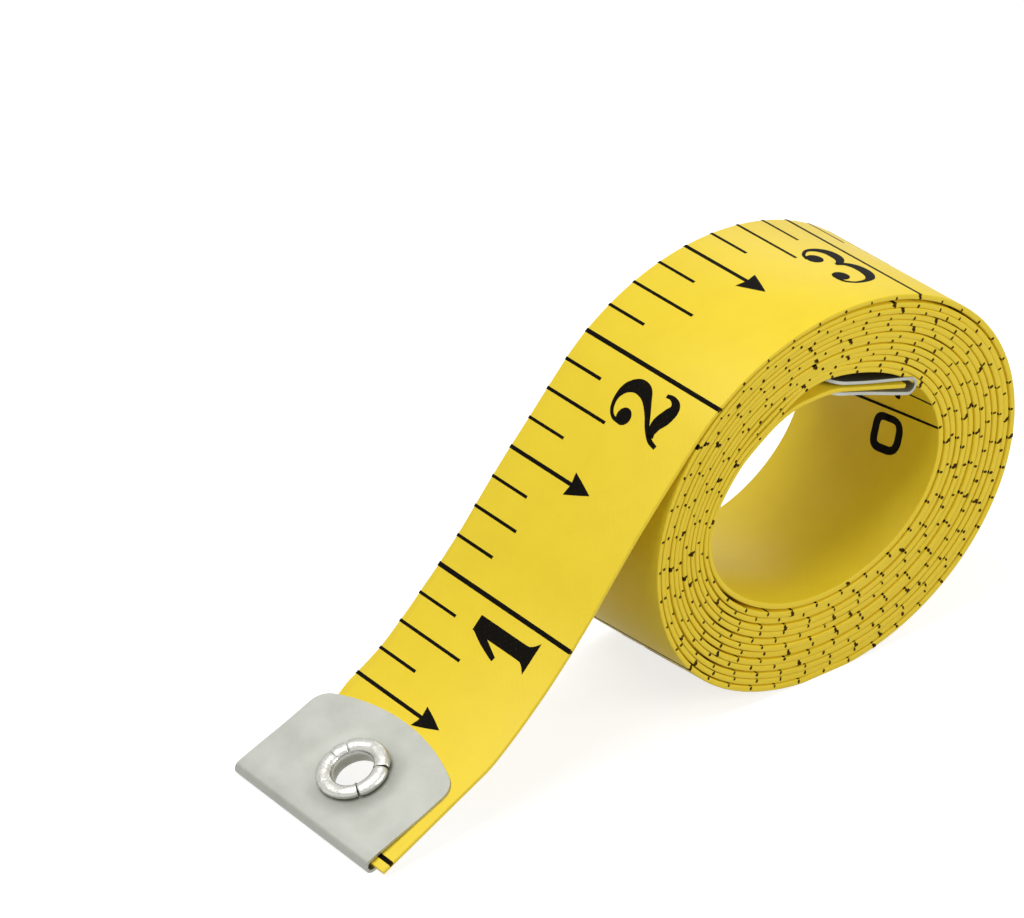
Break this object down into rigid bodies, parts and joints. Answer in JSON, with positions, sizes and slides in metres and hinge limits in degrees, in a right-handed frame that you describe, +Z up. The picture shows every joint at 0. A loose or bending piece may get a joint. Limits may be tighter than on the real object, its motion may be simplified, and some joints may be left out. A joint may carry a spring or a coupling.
{
  "type": "cloth tape measure",
  "caption": "Soft sewing tape measure wound into a loose roll, its free end drawn down to the table, with a folded metal clip and an eyelet on each end.",
  "frame": {"origin": "on the table, under the middle of the whole object", "axes": "+X from the free end towards the roll, +Y across the tape towards its graduated edge, +Z up"},
  "size_m": [0.0778, 0.02, 0.0393],
  "materials": {
    "tape": "yellow plastic-coated woven cloth, satin, printed in black",
    "clip": "satin tin-plated sheet steel",
    "eyelet": "bright plated, rolled and split on its face side"
  },
  "bodies": {
    "roll": {"tape_roll": "tape"},
    "top": {"tape_top": "tape"},
    "shoulder": {"tape_shoulder": "tape"},
    "drop": {"tape_drop": "tape"},
    "foot": {"tape_foot": "tape"},
    "end": {"tape_end": "tape", "end_clip": "clip", "end_eyelet": "eyelet"},
    "inner_end": {"inner_tape_end": "tape", "inner_clip": "clip", "inner_eyelet": "eyelet"}
  },
  "joints": [
    {"name": "top_peel", "type": "hinge", "parent": "roll", "child": "top", "pos_m": [0.02527, 0, 0.03774], "axis": [0, 1, 0], "range_deg": [0, 20], "stiffness_Nm_per_rad": 0.006},
    {"name": "shoulder_peel", "type": "hinge", "parent": "top", "child": "shoulder", "pos_m": [0.01083, 0, 0.03863], "axis": [0, 1, 0], "range_deg": [0, 20], "stiffness_Nm_per_rad": 0.006},
    {"name": "drop_lift", "type": "hinge", "parent": "shoulder", "child": "drop", "pos_m": [-0.00127, 0, 0.03155], "axis": [0, 1, 0], "range_deg": [0, 30], "stiffness_Nm_per_rad": 0.006},
    {"name": "foot_curl", "type": "hinge", "parent": "drop", "child": "foot", "pos_m": [-0.01233, 0, 0.01773], "axis": [0, 1, 0], "range_deg": [0, 30], "stiffness_Nm_per_rad": 0.006},
    {"name": "clip_flex", "type": "hinge", "parent": "foot", "child": "end", "pos_m": [-0.02549, 0, 0.00625], "axis": [0, 1, 0], "range_deg": [0, 40], "stiffness_Nm_per_rad": 0.006},
    {"name": "inner_end_bend", "type": "hinge", "parent": "roll", "child": "inner_end", "pos_m": [0.01059, 0, 0.03108], "axis": [0, 1, 0], "range_deg": [0, 40], "stiffness_Nm_per_rad": 0.006, "springref_deg": -5.73}
  ],
  "couplings": [
    {"joint": "shoulder_peel", "follows": "top_peel", "ratio": 1}
  ]
}
